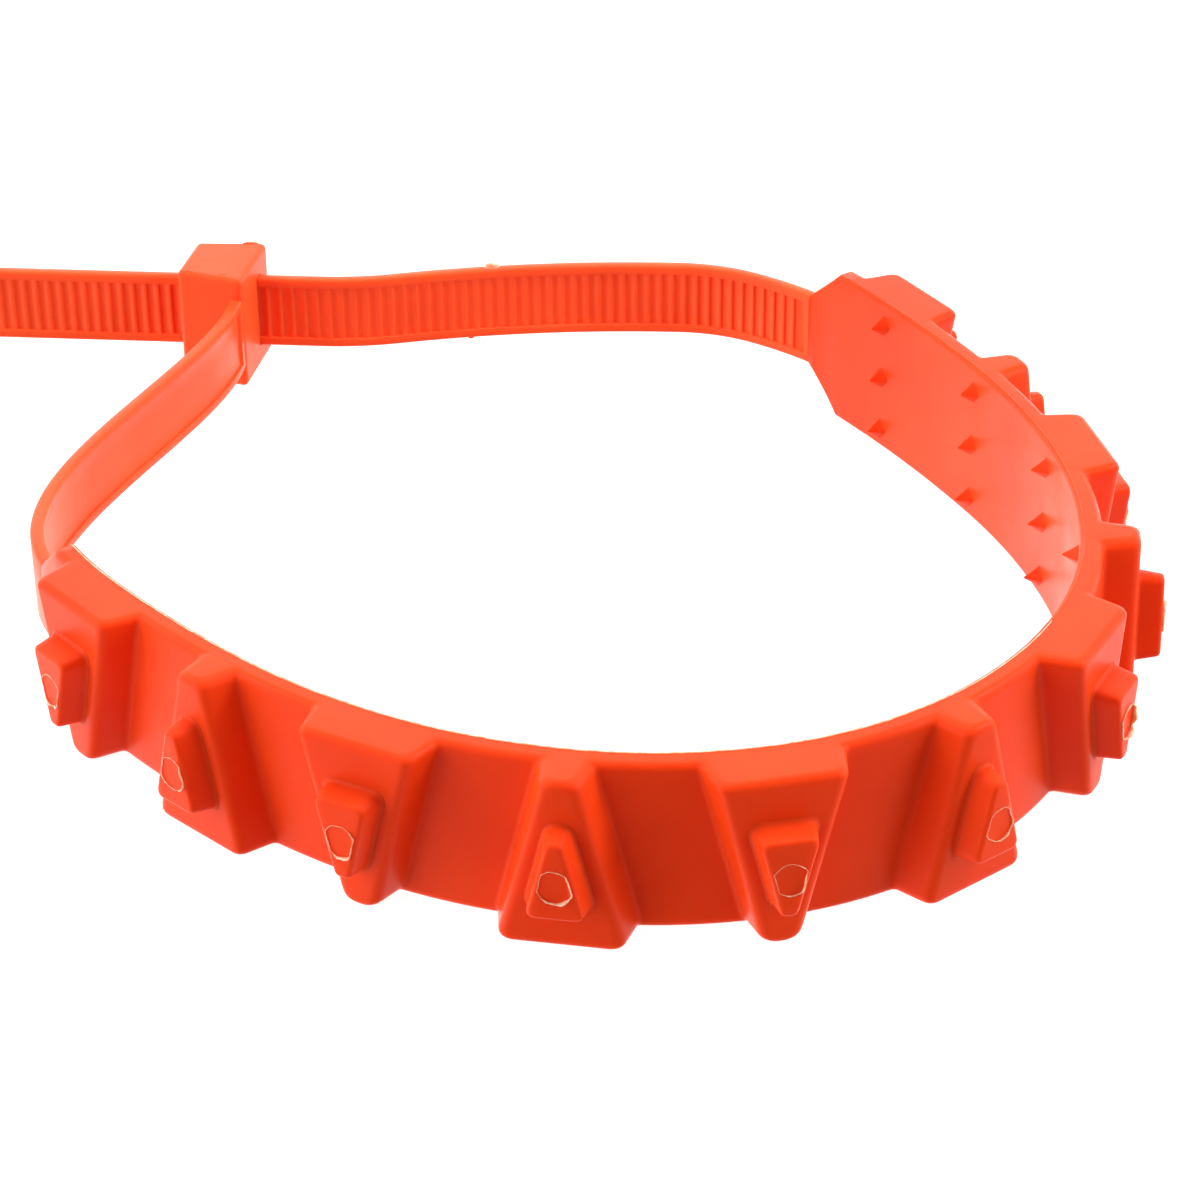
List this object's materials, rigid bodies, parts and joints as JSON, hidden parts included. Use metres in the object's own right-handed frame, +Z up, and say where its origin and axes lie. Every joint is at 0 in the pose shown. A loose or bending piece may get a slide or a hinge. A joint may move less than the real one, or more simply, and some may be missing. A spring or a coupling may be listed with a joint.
{
  "type": "anti-skid tyre tie",
  "caption": "Moulded traction strap in a loop: a wide band with trapezoid lugs and inner spikes, closed by a toothed ladder strap through a ratchet head.",
  "frame": {"origin": "on the lower edge of the tread band, at the middle of its thickness, midway between lugs 4 and 5; the tie stands on this edge", "axes": "+Z up across the band's width, +X along the band at the origin, +Y into the loop"},
  "size_m": [0.3796, 0.2264, 0.025],
  "materials": {
    "band": "satin moulded nylon, slightly translucent",
    "lug": "satin moulded nylon",
    "grip_tip": "satin moulded nylon with a gate scar",
    "neck": "satin moulded nylon, glossier in the recess",
    "ladder": "satin moulded nylon",
    "head": "satin moulded nylon",
    "pawl": "satin moulded nylon"
  },
  "bodies": {
    "band": {"tread_band": "band", "lug_01": "lug", "lug_02": "lug", "lug_03": "lug", "lug_04": "lug", "lug_05": "lug", "lug_06": "lug", "lug_07": "lug", "lug_08": "lug", "lug_09": "lug", "lug_10": "lug", "lug_11": "lug", "grip_tip_01": "grip_tip", "grip_tip_02": "grip_tip", "grip_tip_03": "grip_tip", "grip_tip_04": "grip_tip", "grip_tip_05": "grip_tip", "grip_tip_06": "grip_tip", "grip_tip_07": "grip_tip", "grip_tip_08": "grip_tip", "grip_tip_09": "grip_tip", "grip_tip_10": "grip_tip", "grip_tip_11": "grip_tip", "ladder_strap": "ladder"},
    "head": {"head_housing": "head", "neck_strap": "neck"},
    "pawl": {"pawl": "pawl"},
    "tail": {"ladder_tail": "ladder"}
  },
  "joints": [
    {"name": "head_slide", "type": "slide", "parent": "band", "child": "head", "axis": [0.9954, -0.0958, 0], "range_m": [-0.024, 0.008], "deforming": ["neck_strap"]},
    {"name": "pawl_hinge", "type": "hinge", "parent": "head", "child": "pawl", "pos_m": [-0.06415, 0.14895, 0.0125], "axis": [0, 0, 1], "range_deg": [-5, 12], "stiffness_Nm_per_rad": 0.01, "springref_deg": -5},
    {"name": "tail_flex", "type": "hinge", "parent": "band", "child": "tail", "pos_m": [-0.10023, 0.15604, 0.0125], "axis": [0, 0, 1], "range_deg": [-20, 20], "stiffness_Nm_per_rad": 0.1}
  ]
}
